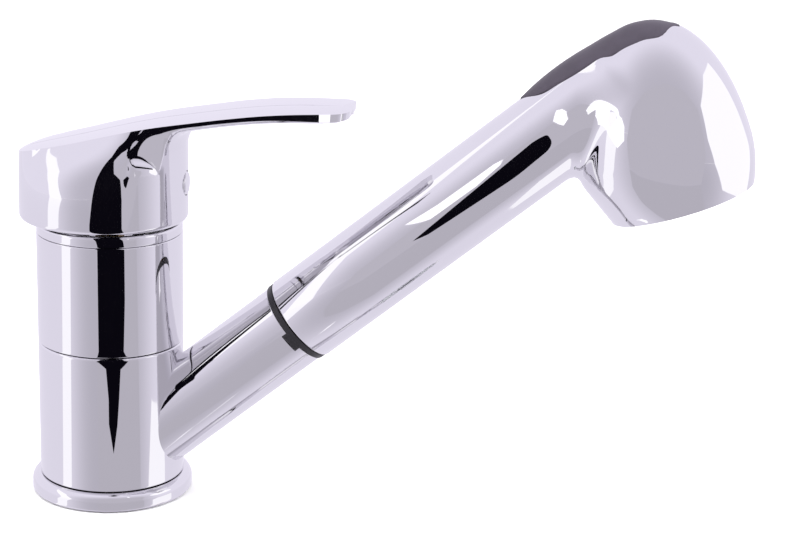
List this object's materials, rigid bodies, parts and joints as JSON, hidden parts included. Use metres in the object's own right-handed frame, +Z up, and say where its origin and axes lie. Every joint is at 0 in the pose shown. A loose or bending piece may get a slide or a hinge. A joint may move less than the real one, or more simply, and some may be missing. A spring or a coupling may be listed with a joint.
{
  "type": "pull-out spray kitchen faucet",
  "caption": "Single-lever chrome sink mixer with an inclined swivel spout, a docked pull-out spray handset and a black spray selector.",
  "frame": {"origin": "centre of the base's underside, on the sink deck and on the body's vertical axis", "axes": "+X along the spout towards the spray head, +Z up, +Y to the left of someone looking along the spout"},
  "size_m": [0.2474, 0.0558, 0.1738],
  "materials": {
    "chromed_brass": "mirror polished chrome plate on brass",
    "chromed_zinc": "mirror polished chrome plate on zinc die casting",
    "chromed_plastic": "chrome plated plastic",
    "brass": "bare turned brass",
    "stainless": "stainless steel",
    "rubber": "black seal rubber",
    "grey_rubber": "grey silicone",
    "soft_black": "matte soft-touch rubber",
    "black_plastic": "satin moulded plastic",
    "white_plastic": "moulded acetal",
    "grey_plastic": "satin grey plastic",
    "ceramic": "lapped alumina ceramic"
  },
  "bodies": {
    "base": {"base_ring": "chromed_brass", "base_seal": "rubber", "foot_bush": "brass", "swivel_column": "brass", "mixer_body": "chromed_brass", "upper_slip_ring": "white_plastic", "lower_slip_ring": "white_plastic", "sleeve_o_ring": "rubber", "cartridge_housing": "white_plastic", "cartridge_seals": "rubber", "fixed_disc": "ceramic", "cartridge_nut": "brass", "trim_ring": "chromed_brass"},
    "spout": {"spout_sleeve": "chromed_brass", "docking_collar": "black_plastic", "hose_guide": "white_plastic"},
    "cartridge_rotor": {"stem_carrier": "grey_plastic", "stem_pin": "stainless"},
    "handle": {"lever_handle": "chromed_zinc", "cartridge_stem": "brass", "handle_set_screw": "stainless", "handle_plug": "chromed_plastic"},
    "disc": {"moving_disc": "ceramic", "disc_carrier": "white_plastic"},
    "handset": {"handset_shell": "chromed_plastic", "handset_tail": "brass", "dock_o_ring": "rubber", "check_valve": "white_plastic", "filter_washer": "rubber", "waterway_tube": "grey_plastic", "diverter_body": "grey_plastic", "spray_distributor": "grey_plastic", "face_plate": "grey_plastic", "spray_nozzles": "grey_rubber", "aerator_housing": "chromed_plastic", "aerator_screen": "stainless", "selector_pin": "stainless"},
    "selector": {"selector_rocker": "soft_black"},
    "spool": {"diverter_spool": "white_plastic"}
  },
  "joints": [
    {"name": "spout_swivel", "type": "hinge", "parent": "base", "child": "spout", "pos_m": [0, 0, 0], "axis": [0, 0, 1], "range_deg": [-60, 60]},
    {"name": "handset_pull", "type": "slide", "parent": "spout", "child": "handset", "axis": [0.7683, 0, 0.6401], "range_m": [0, 0.036]},
    {"name": "selector_rock", "type": "hinge", "parent": "handset", "child": "selector", "pos_m": [0.15983, 0, 0.15573], "axis": [0, 1, 0], "range_deg": [0, 3]},
    {"name": "spool_slide", "type": "slide", "parent": "handset", "child": "spool", "axis": [0.3338, 0, -0.9426], "range_m": [0, 0.00125]},
    {"name": "handle_turn", "type": "hinge", "parent": "base", "child": "cartridge_rotor", "pos_m": [0, 0, 0.0898], "axis": [0, 0, 1], "range_deg": [-50, 50]},
    {"name": "handle_lift", "type": "hinge", "parent": "cartridge_rotor", "child": "handle", "pos_m": [0, 0, 0.0898], "axis": [0, -1, 0], "range_deg": [0, 25]},
    {"name": "disc_slide", "type": "slide", "parent": "cartridge_rotor", "child": "disc", "axis": [1, 0, 0], "range_m": [0, 0.0041]}
  ],
  "couplings": [
    {"joint": "disc_slide", "follows": "handle_lift", "m_per_rad": 0.0092},
    {"joint": "spool_slide", "follows": "selector_rock", "m_per_rad": 0.0232}
  ]
}
